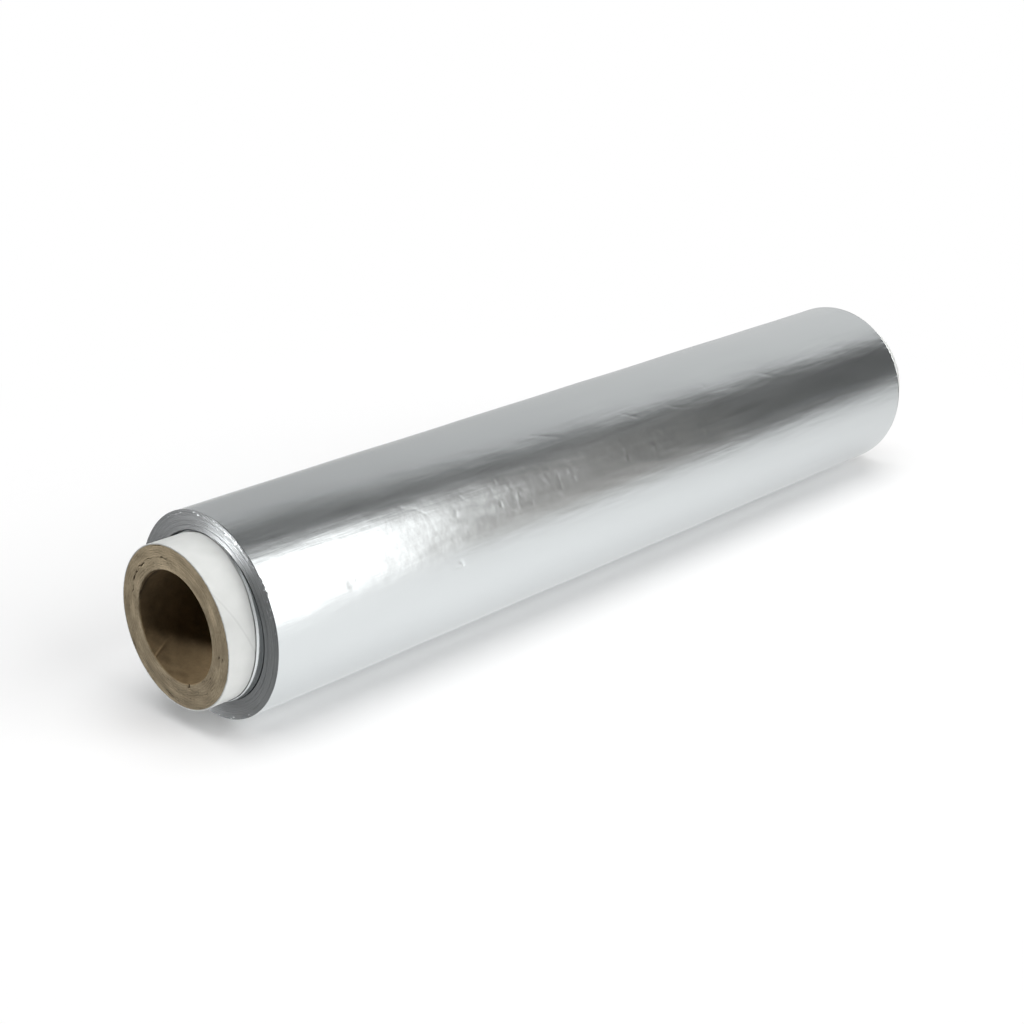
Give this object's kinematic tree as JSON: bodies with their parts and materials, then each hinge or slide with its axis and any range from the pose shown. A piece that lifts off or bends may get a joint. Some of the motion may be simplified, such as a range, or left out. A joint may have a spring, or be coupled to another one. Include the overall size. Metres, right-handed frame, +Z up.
{
  "type": "aluminium foil roll",
  "caption": "Roll of aluminium foil wound on a thick paperboard core that stands out at both ends, with a plain through bore for a dispenser rod.",
  "frame": {"origin": "on the floor under the middle of the roll, at the centre of the flat spot it lies on", "axes": "+X along the roll's axis away from the end whose first turns stick out, +Y across the roll, +Z up"},
  "size_m": [0.322, 0.06, 0.0598],
  "materials": {
    "kraft_board": "raw spiral-wound brown paperboard, cut edge fibrous",
    "white_paper": "matt white paper ply",
    "aluminium_foil": "mill-rolled foil, satin to bright, lightly creased"
  },
  "bodies": {
    "root": {"core_tube": "kraft_board", "core_outer_ply": "white_paper", "foil_winding": "aluminium_foil"}
  },
  "joints": []
}
